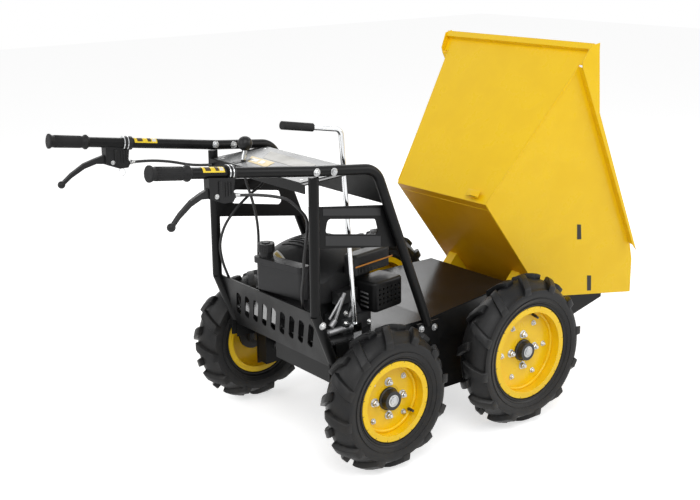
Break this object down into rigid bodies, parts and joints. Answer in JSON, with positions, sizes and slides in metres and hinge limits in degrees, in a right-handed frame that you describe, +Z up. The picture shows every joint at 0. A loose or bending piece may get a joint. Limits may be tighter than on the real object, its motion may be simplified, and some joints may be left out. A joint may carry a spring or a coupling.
{
  "type": "site dumper",
  "caption": "Walk-behind site dumper with four lug-tyred wheels, an open petrol engine, two handlebars and a steel skip that tips forward.",
  "frame": {"origin": "centre of the bounding box on the ground under the tyres", "axes": "+X forward to the skip, +Y to the left of the operator, +Z up"},
  "size_m": [1.7844, 0.81, 1.1116],
  "materials": {
    "frame_black": "gloss",
    "skip_yellow": "gloss",
    "rim_yellow": "gloss",
    "hub_black": "satin",
    "tyre_rubber": "matte",
    "grip_rubber": "matte",
    "steel": "satin",
    "chrome": "polished",
    "cast_aluminium": "satin",
    "black_plastic": "matte"
  },
  "bodies": {
    "chassis": {"air_filter_cover": "black_plastic", "axles": "steel", "carburettor": "cast_aluminium", "chain_cases": "frame_black", "chassis_pan": "frame_black", "console": "frame_black", "control_cables": "black_plastic", "control_levers": "black_plastic", "deck": "frame_black", "engine_block": "cast_aluminium", "engine_shroud": "black_plastic", "frame_tube_left": "frame_black", "frame_tube_right": "frame_black", "fuel_cap": "black_plastic", "fuel_tank": "black_plastic", "gear_lever": "black_plastic", "gearbox": "cast_aluminium", "grips": "grip_rubber", "handlebar_left": "frame_black", "handlebar_right": "frame_black", "hinge_pin": "steel", "lever_housings": "black_plastic", "muffler_guard": "black_plastic", "nose": "frame_black", "rear_panel": "frame_black", "side_plates": "frame_black", "side_skirts": "frame_black", "tip_lever": "chrome", "tip_lever_grip": "grip_rubber", "upright_left": "frame_black", "upright_right": "frame_black"},
    "skip": {"skip_brackets": "skip_yellow", "skip_floor": "skip_yellow", "skip_front_wall": "skip_yellow", "skip_rear_wall": "skip_yellow", "skip_side_left": "skip_yellow", "skip_side_right": "skip_yellow"},
    "wheel_rear_left": {"hub_rear_left": "hub_black", "rim_rear_left": "rim_yellow", "tyre_rear_left": "tyre_rubber"},
    "wheel_rear_right": {"hub_rear_right": "hub_black", "rim_rear_right": "rim_yellow", "tyre_rear_right": "tyre_rubber"},
    "wheel_front_left": {"hub_front_left": "hub_black", "rim_front_left": "rim_yellow", "tyre_front_left": "tyre_rubber"},
    "wheel_front_right": {"hub_front_right": "hub_black", "rim_front_right": "rim_yellow", "tyre_front_right": "tyre_rubber"}
  },
  "joints": [
    {"name": "wheel_rear_left_spin", "type": "hinge", "parent": "chassis", "child": "wheel_rear_left", "pos_m": [-0.23606, 0.3365, 0.207], "axis": [0, 1, 0], "continuous": true},
    {"name": "wheel_rear_right_spin", "type": "hinge", "parent": "chassis", "child": "wheel_rear_right", "pos_m": [-0.23606, -0.3365, 0.207], "axis": [0, 1, 0], "continuous": true},
    {"name": "wheel_front_left_spin", "type": "hinge", "parent": "chassis", "child": "wheel_front_left", "pos_m": [0.27094, 0.35, 0.231], "axis": [0, 1, 0], "continuous": true},
    {"name": "wheel_front_right_spin", "type": "hinge", "parent": "chassis", "child": "wheel_front_right", "pos_m": [0.27094, -0.35, 0.231], "axis": [0, 1, 0], "continuous": true},
    {"name": "skip_tip", "type": "hinge", "parent": "chassis", "child": "skip", "pos_m": [0.42394, 0, 0.335], "axis": [0, 1, 0], "range_deg": [-55.5, 0]}
  ]
}
